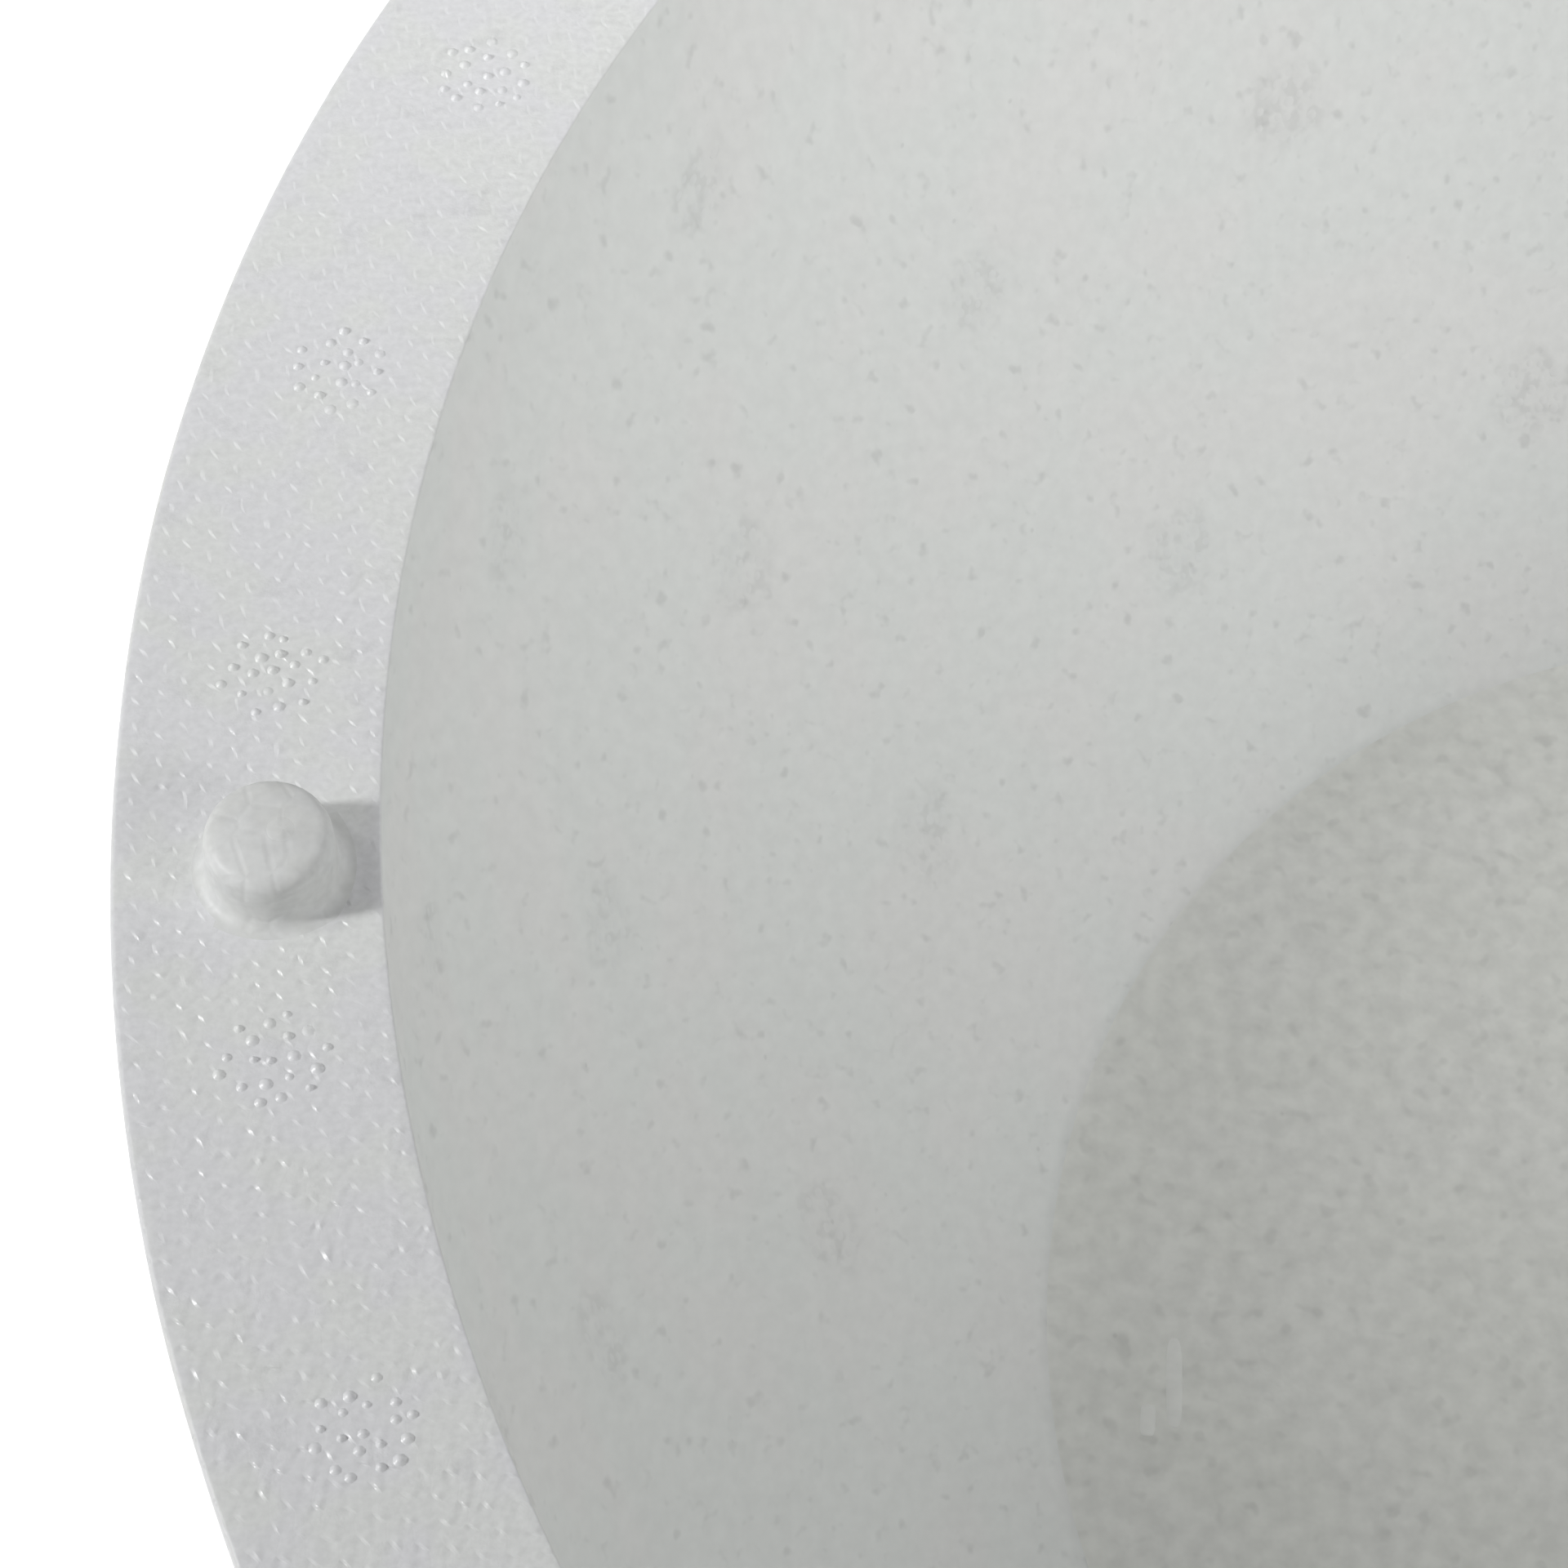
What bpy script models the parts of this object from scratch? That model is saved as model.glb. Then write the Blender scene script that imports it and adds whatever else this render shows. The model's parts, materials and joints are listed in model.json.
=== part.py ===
"""Moulded foam half ball: a thick hemispherical shell with a flat-floored hollow.

The half ball lies on the crown of its dome with the opening up. Its origin is under the crown and +Z is the
axis of the dome. The rim carries pegs and sockets in turn, a quarter of a circle apart, so two equal halves
close to a ball when one is turned over about the diagonal between a peg and a socket.
"""

import math

import bmesh
import bpy
from mathutils import Matrix

# Ball and hollow, in metres
BALL_RADIUS = 0.200
WALL_THICKNESS = 0.0243
FLOOR_DEPTH = 0.1418
CROWN_FLAT_RADIUS = 0.012

# Rounded edges of the ball
OUTER_EDGE_ROUND = 0.0012
INNER_EDGE_ROUND = 0.0008
FLOOR_CORNER_ROUND = 0.003

# Locating pegs and their sockets
PEG_PAIRS = 2
PEG_DIAMETER = 0.0122
PEG_HEIGHT = 0.0062
PEG_CROWN_RISE = 0.0005
PEG_DRAFT_ANGLE = math.radians(4)
PEG_EDGE_ROUND = 0.0012
PEG_FOOT_FILLET = 0.0008
PEG_OFFSET_TO_HOLLOW = 0.0024
SOCKET_CLEARANCE = 0.0003

# Slope at which the foot flare of a peg meets the rim
TOE_SLOPE = math.radians(20)

# Facets
BALL_FACETS = 72
DOME_STEPS = 18
HOLLOW_STEPS = 11
FLOOR_CORNER_STEPS = 4
EDGE_STEPS = 3
DOWEL_FACETS = 20
DOWEL_CROWN_STEPS = 3

# Finish of the foam
FOAM_COLOUR = (0.80, 0.80, 0.79, 1.0)
FOAM_ROUGHNESS = 0.8
SMOOTH_ANGLE = math.radians(30)

MERGE_DISTANCE = 1e-6


def clear_scene():
    """Removes every object, so the part is built in an empty scene."""
    for obj in list(bpy.data.objects):
        bpy.data.objects.remove(obj)


def arc(centre, radius, start, end, steps):
    """Points of an arc in the profile plane, from the angle start to the angle end, both ends included."""
    angles = [start + (end - start) * step / steps for step in range(steps + 1)]
    return [(centre[0] + radius * math.cos(a), centre[1] + radius * math.sin(a)) for a in angles]


def rim_height():
    """Height of the rim over the crown's flat spot."""
    return math.sqrt(BALL_RADIUS ** 2 - CROWN_FLAT_RADIUS ** 2)


def floor_corner(hollow_radius):
    """Arc that rounds the corner where the flat floor meets the hollow's wall."""
    height = FLOOR_CORNER_ROUND - FLOOR_DEPTH
    reach = math.sqrt((hollow_radius - FLOOR_CORNER_ROUND) ** 2 - height ** 2)
    wall_angle = math.atan2(height, reach)
    return arc((reach, height), FLOOR_CORNER_ROUND, -math.pi / 2, wall_angle, FLOOR_CORNER_STEPS), wall_angle


def inner_edge(hollow_radius):
    """Arc that rounds the rim's edge over the hollow."""
    reach = math.sqrt((hollow_radius + INNER_EDGE_ROUND) ** 2 - INNER_EDGE_ROUND ** 2)
    wall_angle = math.atan2(-INNER_EDGE_ROUND, reach)
    points = arc((reach, -INNER_EDGE_ROUND), INNER_EDGE_ROUND, math.pi + wall_angle, math.pi / 2, EDGE_STEPS)
    return points, wall_angle


def outer_edge():
    """Arc that rounds the rim's edge over the dome."""
    reach = math.sqrt((BALL_RADIUS - OUTER_EDGE_ROUND) ** 2 - OUTER_EDGE_ROUND ** 2)
    dome_angle = math.atan2(-OUTER_EDGE_ROUND, reach)
    return arc((reach, -OUTER_EDGE_ROUND), OUTER_EDGE_ROUND, math.pi / 2, dome_angle, EDGE_STEPS), dome_angle


def shell_profile():
    """Half section from the middle of the floor, over the rim and down the dome to the middle of the crown.

    Heights are measured from the rim, whose centre is the centre of both the dome and the hollow.
    """
    hollow_radius = BALL_RADIUS - WALL_THICKNESS
    corner, corner_angle = floor_corner(hollow_radius)
    lip, lip_angle = inner_edge(hollow_radius)
    brow, brow_angle = outer_edge()
    crown_angle = math.asin(CROWN_FLAT_RADIUS / BALL_RADIUS) - math.pi / 2
    wall = arc((0, 0), hollow_radius, corner_angle, lip_angle, HOLLOW_STEPS)
    dome = arc((0, 0), BALL_RADIUS, brow_angle, crown_angle, DOME_STEPS)
    return [(0, -FLOOR_DEPTH)] + corner + wall[1:-1] + lip + brow + dome[1:] + [(0, -rim_height())]


def dowel_profile(clearance):
    """Half section of a peg standing on the rim, or of its socket when clearance is added all round.

    It runs from the middle of the shank's end, out and up the shank, in along the toe of the foot flare, and
    over the drafted side and the rounded top edge to the crown. Heights are measured from the rim. The toe
    crosses the rim at a slope and ends as far under it as the flare starts over it, so the joint with the rim
    is a clean line. The shank reaches as far under the rim as the peg stands over it.
    """
    root_radius = PEG_DIAMETER / 2 + clearance
    top = PEG_HEIGHT + clearance
    lean = math.tan(PEG_DRAFT_ANGLE)
    slant = math.cos(PEG_DRAFT_ANGLE)
    flare_centre = (root_radius - lean * PEG_FOOT_FILLET + PEG_FOOT_FILLET / slant, PEG_FOOT_FILLET)
    shoulder_height = top - PEG_EDGE_ROUND
    shoulder_centre = (root_radius - lean * shoulder_height - PEG_EDGE_ROUND / slant, shoulder_height)
    flare_angles = (-math.pi / 2 - TOE_SLOPE, -math.pi + PEG_DRAFT_ANGLE)
    flare = arc(flare_centre, PEG_FOOT_FILLET, *flare_angles, EDGE_STEPS)
    flare_start, flare_height = flare[0]
    toe_radius = flare_start + 2 * flare_height / math.tan(TOE_SLOPE)
    shank = [(0, -top), (toe_radius, -top), (toe_radius, -flare_height)]
    shoulder = arc(shoulder_centre, PEG_EDGE_ROUND, PEG_DRAFT_ANGLE, math.pi / 2, EDGE_STEPS)
    crown_angles = [step * math.pi / 2 / DOWEL_CROWN_STEPS for step in range(1, DOWEL_CROWN_STEPS)]
    crown = [(shoulder_centre[0] * math.cos(a), top + PEG_CROWN_RISE * math.sin(a)) for a in crown_angles]
    return shank + flare + shoulder + crown + [(0, top + PEG_CROWN_RISE)]


def turned(name, profile, facets):
    """A closed mesh object made by spinning a half section about the Z axis."""
    sheet = bmesh.new()
    points = [sheet.verts.new((radius, 0, height)) for radius, height in profile]
    edges = [sheet.edges.new(pair) for pair in zip(points, points[1:])]
    bmesh.ops.spin(
        sheet,
        geom=points + edges,
        cent=(0, 0, 0),
        axis=(0, 0, 1),
        angle=2 * math.pi,
        steps=facets,
        use_merge=True,
    )
    bmesh.ops.remove_doubles(sheet, verts=sheet.verts[:], dist=MERGE_DISTANCE)
    bmesh.ops.recalc_face_normals(sheet, faces=sheet.faces[:])
    mesh = bpy.data.meshes.new(name)
    sheet.to_mesh(mesh)
    sheet.free()
    obj = bpy.data.objects.new(name, mesh)
    bpy.context.scene.collection.objects.link(obj)
    return obj


def foam_material():
    """White moulded bead foam, dull and not metallic."""
    material = bpy.data.materials.new("white_foam")
    material.use_nodes = True
    shader = material.node_tree.nodes["Principled BSDF"]
    shader.inputs["Base Color"].default_value = FOAM_COLOUR
    shader.inputs["Roughness"].default_value = FOAM_ROUGHNESS
    shader.inputs["Metallic"].default_value = 0.0
    return material


def add_boolean(body, tool, operation):
    """Joins a tool to the body or cuts it out, and hides the tool."""
    step = body.modifiers.new(tool.name, "BOOLEAN")
    step.operation = operation
    step.solver = "EXACT"
    step.object = tool
    tool.hide_render = True
    tool.display_type = "WIRE"


def rim_place(turn):
    """Place on the rim, a little nearer to the hollow than the middle of the wall, at an angle from +X."""
    radius = BALL_RADIUS - WALL_THICKNESS / 2 - PEG_OFFSET_TO_HOLLOW
    return Matrix.Rotation(turn, 4, "Z") @ Matrix.Translation((radius, 0, rim_height()))


def build():
    """Builds the half ball, with its pegs joined and its sockets cut."""
    clear_scene()
    ball = turned("half_ball", [(r, h + rim_height()) for r, h in shell_profile()], BALL_FACETS)
    ball.data.materials.append(foam_material())
    quarter = math.pi / PEG_PAIRS
    for pair in range(PEG_PAIRS):
        peg = turned(f"peg_{pair + 1}", dowel_profile(0), DOWEL_FACETS)
        peg.matrix_world = rim_place(2 * pair * quarter)
        add_boolean(ball, peg, "UNION")
        socket = turned(f"socket_{pair + 1}", dowel_profile(SOCKET_CLEARANCE), DOWEL_FACETS)
        socket.matrix_world = rim_place((2 * pair + 1) * quarter) @ Matrix.Rotation(math.pi, 4, "X")
        add_boolean(ball, socket, "DIFFERENCE")
    ball.data.shade_smooth()
    ball.data.set_sharp_from_angle(angle=SMOOTH_ANGLE)


build()
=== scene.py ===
"""Looks of a moulded foam half ball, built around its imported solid.

The skin of the half ball is one closed surface worked out on a grid of turns and profile points, with its
pegs and sockets shaped into the same grid. The vent marks that the mould leaves are small raised nubs in
round groups. Each zone has its own finish: scale-like beads on the rim, round ones on the dome and the pegs,
a smoother pitted wall in the hollow and a coarser floor.
"""

from __future__ import annotations

import json
import logging
import math
from dataclasses import dataclass
from enum import Enum
from typing import Any

import bpy
import numpy as np
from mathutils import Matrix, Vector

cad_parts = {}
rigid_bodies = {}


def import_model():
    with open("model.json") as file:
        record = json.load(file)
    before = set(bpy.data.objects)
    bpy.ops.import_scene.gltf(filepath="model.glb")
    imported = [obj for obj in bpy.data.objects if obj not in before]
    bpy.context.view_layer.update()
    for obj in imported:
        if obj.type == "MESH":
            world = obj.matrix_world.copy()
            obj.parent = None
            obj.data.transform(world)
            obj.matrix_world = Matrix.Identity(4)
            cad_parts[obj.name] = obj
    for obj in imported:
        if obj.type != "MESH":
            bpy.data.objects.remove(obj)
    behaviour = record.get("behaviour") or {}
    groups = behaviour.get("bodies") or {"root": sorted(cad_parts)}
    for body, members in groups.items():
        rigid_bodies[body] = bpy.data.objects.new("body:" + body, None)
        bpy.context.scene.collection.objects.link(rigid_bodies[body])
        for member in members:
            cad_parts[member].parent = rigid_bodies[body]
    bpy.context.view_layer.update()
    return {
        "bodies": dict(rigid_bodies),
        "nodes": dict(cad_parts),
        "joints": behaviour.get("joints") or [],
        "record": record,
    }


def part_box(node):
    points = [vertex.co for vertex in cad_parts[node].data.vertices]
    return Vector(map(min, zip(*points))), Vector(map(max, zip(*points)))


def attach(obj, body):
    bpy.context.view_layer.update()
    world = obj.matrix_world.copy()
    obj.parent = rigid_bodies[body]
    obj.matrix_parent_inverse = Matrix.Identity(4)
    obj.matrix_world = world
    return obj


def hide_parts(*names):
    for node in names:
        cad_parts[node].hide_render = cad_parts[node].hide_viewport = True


NODE = "half_ball"
BODY = "root"

# Pegs and sockets on the rim, in turn
DOWELS = 4

# Rows of vent marks: the latitude under the rim in degrees, or the radius on the floor in metres, the number
# of vents and the angle of the first in degrees
HOLLOW_ROWS = ((10.6, 22, 13.76), (25.8, 20, 5.7), (41.8, 15, 6.1))
FLOOR_ROWS = ((0.0755, 8, 44.5), (0.0424, 4, 85.6))
DOME_ROWS = ((10.6, 22, 4.0), (26.0, 20, 9.0), (41.8, 16, 3.0), (57.4, 12, 8.0), (73.0, 6, 20.0))

# Vent marks on the rim: how far their circle lies inside the rim's middle, in metres, their number, how far
# each strays along the circle, in degrees, and the seed of the straying
RIM_VENT_SHIFT = 0.0014
RIM_VENTS = 32
RIM_VENT_STRAY = 0.75
RIM_VENT_SEED = 7628

# The bead on each peg: its distance from the ball's edge and its depth in the crown, in metres, the share of
# the crown's rise that it stands at, and how far it leans inwards, in radians
PEG_BEAD_INSET = 0.01575
PEG_BEAD_DROP = 0.00003
PEG_BEAD_CROWN_SHARE = 0.95
PEG_BEAD_LEAN = 0.03

# What the lamps face: the middle of the rim, or a point beyond the ball
RIM_MIDDLE = (0.0, 0.0, 0.2)
SPOT_AIM = (-0.04, 0.32, 0.17)

log = logging.getLogger("half_ball")


class Zone(Enum):
    """Stretches of the surface, each with its own finish, numbered as the skin lists its materials."""

    FLOOR = 0
    WALL = 1
    RIM = 2
    PEG = 3
    DOME = 4
    VENT = 5
    MARK = 6


# Plain mesh and array helpers


def arc(centre: tuple[float, float], radius: float, start: float, end: float, steps: int) -> np.ndarray:
    """Points of an arc: the centre plus the radius times the cosine and sine of evenly spaced angles.

    Args:
        centre: Middle of the circle.
        radius: Radius of the circle.
        start: First angle, in radians.
        end: Last angle, in radians.
        steps: Number of intervals.

    Returns:
        An array of steps + 1 rows of two coordinates.
    """
    angle = np.linspace(start, end, steps + 1)
    return np.stack([centre[0] + radius * np.cos(angle), centre[1] + radius * np.sin(angle)], axis=-1)


def rounding(reach: float, height: float) -> tuple[tuple[float, float], float]:
    """Middle of the circle that rounds an edge of the ball, and the angle at which the ball's middle sees it.

    Args:
        reach: Distance of the circle's middle from the ball's.
        height: Height of the circle's middle over the rim.

    Returns:
        The circle's middle, of radius and height, and the angle over the level plane.
    """
    radius = math.sqrt(reach ** 2 - height ** 2)
    return (radius, height), math.atan2(height, radius)


def level_line(radii: np.ndarray, height: float) -> np.ndarray:
    """Points of those radii at one height."""
    return np.stack([radii, np.full_like(radii, height)], axis=-1)


def smooth_step(value: np.ndarray) -> np.ndarray:
    """Eases a value from 0 to 1: three times its square less twice its cube, held inside 0 and 1."""
    held = np.clip(value, 0.0, 1.0)
    return held * held * (3.0 - 2.0 * held)


def lattice_noise(points: np.ndarray, cell: float, seed: int) -> np.ndarray:
    """Smooth noise from 0 to 1: random values on a cubic lattice, eased from corner to corner of each cell.

    Args:
        points: Places in metres, with three coordinates along the last axis.
        cell: Side of the lattice's cells, in metres.
        seed: Seed of the random values.

    Returns:
        One value for each place.
    """
    side = 64
    table = np.random.default_rng(seed).random((side, side, side))
    scaled = points / cell + side / 2
    corner = np.floor(scaled).astype(int)
    share = smooth_step(scaled - corner)
    total = np.zeros(points.shape[:-1])
    for step in np.ndindex(2, 2, 2):
        index = (corner + np.array(step)) % side
        weight = np.prod(np.where(np.array(step) == 1, share, 1.0 - share), axis=-1)
        total += weight * table[index[..., 0], index[..., 1], index[..., 2]]
    return total


def mesh_object(
    name: str, points: np.ndarray, faces: list[list[int]], *finishes: bpy.types.Material
) -> bpy.types.Object:
    """Makes a smooth-shaded mesh object at the origin.

    Args:
        name: Name of the object.
        points: Places of the vertices, in metres.
        faces: Vertex numbers of each face, turning outwards.
        finishes: Materials of the mesh. Every face has the first.

    Returns:
        The new object, linked to the scene.
    """
    mesh = bpy.data.meshes.new(name)
    mesh.from_pydata(points.reshape(-1, 3).tolist(), [], faces)
    for finish in finishes:
        mesh.materials.append(finish)
    mesh.shade_smooth()
    obj = bpy.data.objects.new(name, mesh)
    bpy.context.scene.collection.objects.link(obj)
    return obj


def dress_as_moulding(obj: bpy.types.Object) -> None:
    """Fixes a piece to the half ball's body and logs its numbers of vertices and faces."""
    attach(obj, BODY)
    log.info("%s: %d vertices, %d faces", obj.name, len(obj.data.vertices), len(obj.data.polygons))


# Sizes of the moulding


@dataclass(frozen=True)
class Unevenness:
    """How far the moulding's surface is drawn into the material, from place to place.

    Attributes:
        depth: The greatest draw, in metres.
        cell: Side of the cells of its noise, in metres.
        seed: Seed of the noise.
    """

    depth: float = 0.00012
    cell: float = 0.014
    seed: int = 5

    def draw(self, points: np.ndarray) -> np.ndarray:
        """The depth times the noise, at places measured from the middle of the rim, in metres."""
        return self.depth * lattice_noise(points, self.cell, self.seed)


@dataclass(frozen=True)
class BallSizes:
    """Sizes of the half ball, in metres. Its middle is the centre of the rim.

    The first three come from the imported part. The others repeat the part's own sizes, but the rim's two edges
    are sharper here, as in the photograph.
    """

    ball_radius: float
    rim_height: float
    floor_depth: float
    wall: float = 0.0243
    crown_flat_radius: float = 0.012
    outer_edge_round: float = 0.0006
    inner_edge_round: float = 0.0003
    floor_corner_round: float = 0.003

    @classmethod
    def from_frame(cls, frame: dict[str, Any]) -> BallSizes:
        """Reads the ball's radius from the node's box and its heights from the record's mounts."""
        low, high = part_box(NODE)
        height = {mount["name"]: mount["pos_m"][2] for mount in frame["record"]["mounts"]}
        return cls((high.x - low.x) / 2, height["rim"], height["rim"] - height["hollow_floor"])

    @property
    def hollow_radius(self) -> float:
        """Radius of the hollow's round wall."""
        return self.ball_radius - self.wall


@dataclass(frozen=True)
class DowelSizes:
    """Sizes of a peg on the rim, in metres, and the clearance that its socket adds all round.

    They are the part's own, but the crown is lower, and the top edge and the foot are rounder.
    """

    root_radius: float = 0.0061
    height: float = 0.0062
    crown_rise: float = 0.0004
    draft: float = math.radians(4)
    edge_round: float = 0.0014
    foot_fillet: float = 0.0012
    offset_to_hollow: float = 0.0024
    clearance: float = 0.0003
    crown_steps: int = 3
    shoulder_steps: int = 4
    foot_steps: int = 3

    def half_section(self, gap: float) -> np.ndarray:
        """Points from the middle of the crown, over the shoulder and down the side to the rim.

        The crown is a quarter of an ellipse, the shoulder and the foot are arcs, and the side is straight.

        Args:
            gap: Clearance added to the radius and the height, 0 for a peg.

        Returns:
            An array of radii and heights, with one point on the side, halfway between shoulder and foot.
        """
        root = self.root_radius + gap
        top = self.height + gap
        lean, slant = math.tan(self.draft), math.cos(self.draft)
        shoulder_height = top - self.edge_round
        shoulder_radius = root - lean * shoulder_height - self.edge_round / slant
        foot_radius = root - lean * self.foot_fillet + self.foot_fillet / slant
        share = np.linspace(0.0, 1.0, self.crown_steps + 1)
        crown_heights = top + self.crown_rise * np.sqrt(1.0 - share ** 2)
        crown = np.stack([shoulder_radius * share, crown_heights], axis=-1)
        shoulder_middle = (shoulder_radius, shoulder_height)
        shoulder = arc(shoulder_middle, self.edge_round, math.pi / 2, self.draft, self.shoulder_steps)
        foot_middle = (foot_radius, self.foot_fillet)
        foot = arc(foot_middle, self.foot_fillet, math.pi + self.draft, 1.5 * math.pi, self.foot_steps)
        side = (shoulder[-1:] + foot[:1]) / 2
        return np.concatenate([crown, shoulder[1:], side, foot])


# The skin of the moulding


@dataclass
class FoamSkin:
    """The whole surface of the half ball as one closed grid of profile points and turns.

    Round each peg and socket the grid's lines stand close together, and its square rings are drawn into
    circles that carry the dowel's half section.
    """

    sizes: BallSizes
    dowel: DowelSizes
    patch_rings: int = 16
    patch_reach: float = 0.0086
    turns_between: int = 96
    floor_steps: int = 20
    corner_steps: int = 5
    wall_steps: int = 44
    edge_steps: int = 4
    dome_steps: int = 64
    crown_steps: int = 3
    unevenness: Unevenness = Unevenness()

    @property
    def dowel_circle(self) -> float:
        """Radius of the circle on which the pegs and sockets stand."""
        return self.sizes.ball_radius - self.sizes.wall / 2 - self.dowel.offset_to_hollow

    def profile(self) -> tuple[np.ndarray, np.ndarray]:
        """Half section from near the middle of the floor, over the rim, to near the middle of the crown.

        Returns:
            The points, of radius and height over the rim, and the zone of each.
        """
        s = self.sizes
        corner_height = s.floor_corner_round - s.floor_depth
        corner_middle, corner_angle = rounding(s.hollow_radius - s.floor_corner_round, corner_height)
        lip_middle, lip_angle = rounding(s.hollow_radius + s.inner_edge_round, -s.inner_edge_round)
        brow_middle, brow_angle = rounding(s.ball_radius - s.outer_edge_round, -s.outer_edge_round)
        crown_angle = math.asin(s.crown_flat_radius / s.ball_radius) - math.pi / 2

        floor = level_line(np.linspace(0.0, corner_middle[0], self.floor_steps + 1)[1:-1], -s.floor_depth)
        corner = arc(corner_middle, s.floor_corner_round, -math.pi / 2, corner_angle, self.corner_steps)
        wall = arc((0, 0), s.hollow_radius, corner_angle, lip_angle, self.wall_steps)[1:-1]
        lip = arc(lip_middle, s.inner_edge_round, math.pi + lip_angle, math.pi / 2, self.edge_steps)
        near, far = self.dowel_circle - self.patch_reach, self.dowel_circle + self.patch_reach
        patch_radii = np.linspace(near, far, 2 * self.patch_rings + 1)
        outer_radii = np.linspace(far, brow_middle[0], self.edge_steps + 2)[1:-1]
        rim = level_line(np.concatenate([patch_radii, outer_radii]), 0.0)
        brow = arc(brow_middle, s.outer_edge_round, math.pi / 2, brow_angle, self.edge_steps)
        dome = arc((0, 0), s.ball_radius, brow_angle, crown_angle, self.dome_steps)[1:]
        crown = level_line(np.linspace(s.crown_flat_radius, 0.0, self.crown_steps + 1)[1:-1], -s.rim_height)

        # Each arc is split where its finish changes
        stretches = [
            (floor, Zone.FLOOR), (corner[:2], Zone.FLOOR), (corner[2:], Zone.WALL), (wall, Zone.WALL),
            (lip[:3], Zone.WALL), (lip[3:], Zone.RIM), (rim, Zone.RIM), (brow[:2], Zone.RIM),
            (brow[2:], Zone.DOME), (dome, Zone.DOME), (crown, Zone.DOME),
        ]
        points = np.concatenate([stretch for stretch, _ in stretches])
        zones = np.concatenate([np.full(len(stretch), zone.value) for stretch, zone in stretches])
        return points, zones

    def turns(self) -> np.ndarray:
        """Angles of the grid's lines from +X: close lines across each dowel and wider ones between dowels."""
        reach = self.patch_reach / self.dowel_circle
        close = np.linspace(-reach, reach, 2 * self.patch_rings + 1)[:-1]
        wide = np.linspace(reach, math.pi / 2 - reach, self.turns_between + 1)[:-1]
        quarter = np.concatenate([close, wide])
        return np.concatenate([quarter + corner * math.pi / 2 for corner in range(DOWELS)])

    def shape_dowel(self, grid: np.ndarray, zones: np.ndarray, corner: int, middle_line: int) -> None:
        """Draws a square patch of the grid into rings and lifts or sinks them into a peg or a socket.

        A point's ring is the larger of its two distances from the patch's middle, counted in lines. Inner
        rings are circles with the half section's radius and height. Outer rings ease back to the plain grid.

        Args:
            grid: Places of the grid's points, changed in place. The first axis is the turn.
            zones: Zones of the grid's points, changed in place.
            corner: Quarter turn of the dowel from +X. Even ones are pegs and odd ones are sockets.
            middle_line: Profile line through the dowels.
        """
        rings = self.patch_rings
        is_peg = corner % 2 == 0
        section = self.dowel.half_section(0.0 if is_peg else self.dowel.clearance)
        foot_ring = len(section) - 1
        outer = np.linspace(section[-1, 0], self.patch_reach, rings - foot_ring + 1)[1:]
        ring_radius = np.concatenate([section[:, 0], outer])
        ring_height = np.concatenate([section[:, 1], np.zeros(len(outer))]) * (1.0 if is_peg else -1.0)
        ease = smooth_step((np.arange(rings + 1) - foot_ring) / (rings - foot_ring))

        across = np.arange(-rings, rings + 1)
        middle_turn = corner * (2 * rings + self.turns_between) + rings
        turn_index = (middle_turn + across)[:, None] % grid.shape[0]
        line_index = (middle_line + across)[None, :]
        turn_count, line_count = np.meshgrid(across, across, indexing="ij")
        ring = np.maximum(np.abs(turn_count), np.abs(line_count))
        length = np.maximum(np.hypot(turn_count, line_count), 1.0)

        angle = corner * math.pi / 2
        outwards = np.array([math.cos(angle), math.sin(angle)])
        sideways = np.array([-math.sin(angle), math.cos(angle)])
        middle = self.dowel_circle * outwards
        circle = (
            middle
            + (ring_radius[ring] * line_count / length)[..., None] * outwards
            + (ring_radius[ring] * turn_count / length)[..., None] * sideways
        )
        weight = ease[ring][..., None]
        patch = grid[turn_index, line_index]
        patch[..., :2] = (1.0 - weight) * circle + weight * patch[..., :2]
        patch[..., 2] += ring_height[ring]
        grid[turn_index, line_index] = patch
        zones[turn_index, line_index] = np.where(ring <= foot_ring, Zone.PEG.value, Zone.RIM.value)

    def build(self, finishes: dict[Zone, bpy.types.Material]) -> bpy.types.Object:
        """Turns the profile about the axis, shapes the dowels and closes the two poles.

        A point's place is its profile radius times the cosine and sine of its turn, at its profile height,
        drawn into the material along the profile's normal by the unevenness.

        Args:
            finishes: The finish of each zone.

        Returns:
            The skin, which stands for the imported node.
        """
        section, section_zones = self.profile()
        turns = self.turns()
        slope = np.gradient(section, axis=0)
        slope /= np.linalg.norm(slope, axis=-1, keepdims=True)
        inwards = np.stack([slope[:, 1], -slope[:, 0]], axis=-1)
        heading = np.stack([np.cos(turns), np.sin(turns)], axis=-1)

        def revolved(radii: np.ndarray, heights: np.ndarray) -> np.ndarray:
            """Places of radii and heights at each turn, with the turn along the first axis."""
            flat = heading[:, None, :] * radii[..., None]
            return np.concatenate([flat, np.broadcast_to(heights, flat.shape[:2])[..., None]], axis=-1)

        plain = revolved(np.broadcast_to(section[:, 0], (len(turns), len(section))), section[:, 1])
        depth = self.unevenness.draw(plain)
        grid = revolved(section[:, 0] + depth * inwards[:, 0], section[:, 1] + depth * inwards[:, 1])
        grid[..., 2] += self.sizes.rim_height
        zones = np.broadcast_to(section_zones, grid.shape[:2]).copy()
        middle_line = int(np.argmin(np.abs(section[:, 0] - self.dowel_circle) + np.abs(section[:, 1])))
        for corner in range(DOWELS):
            self.shape_dowel(grid, zones, corner, middle_line)

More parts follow.
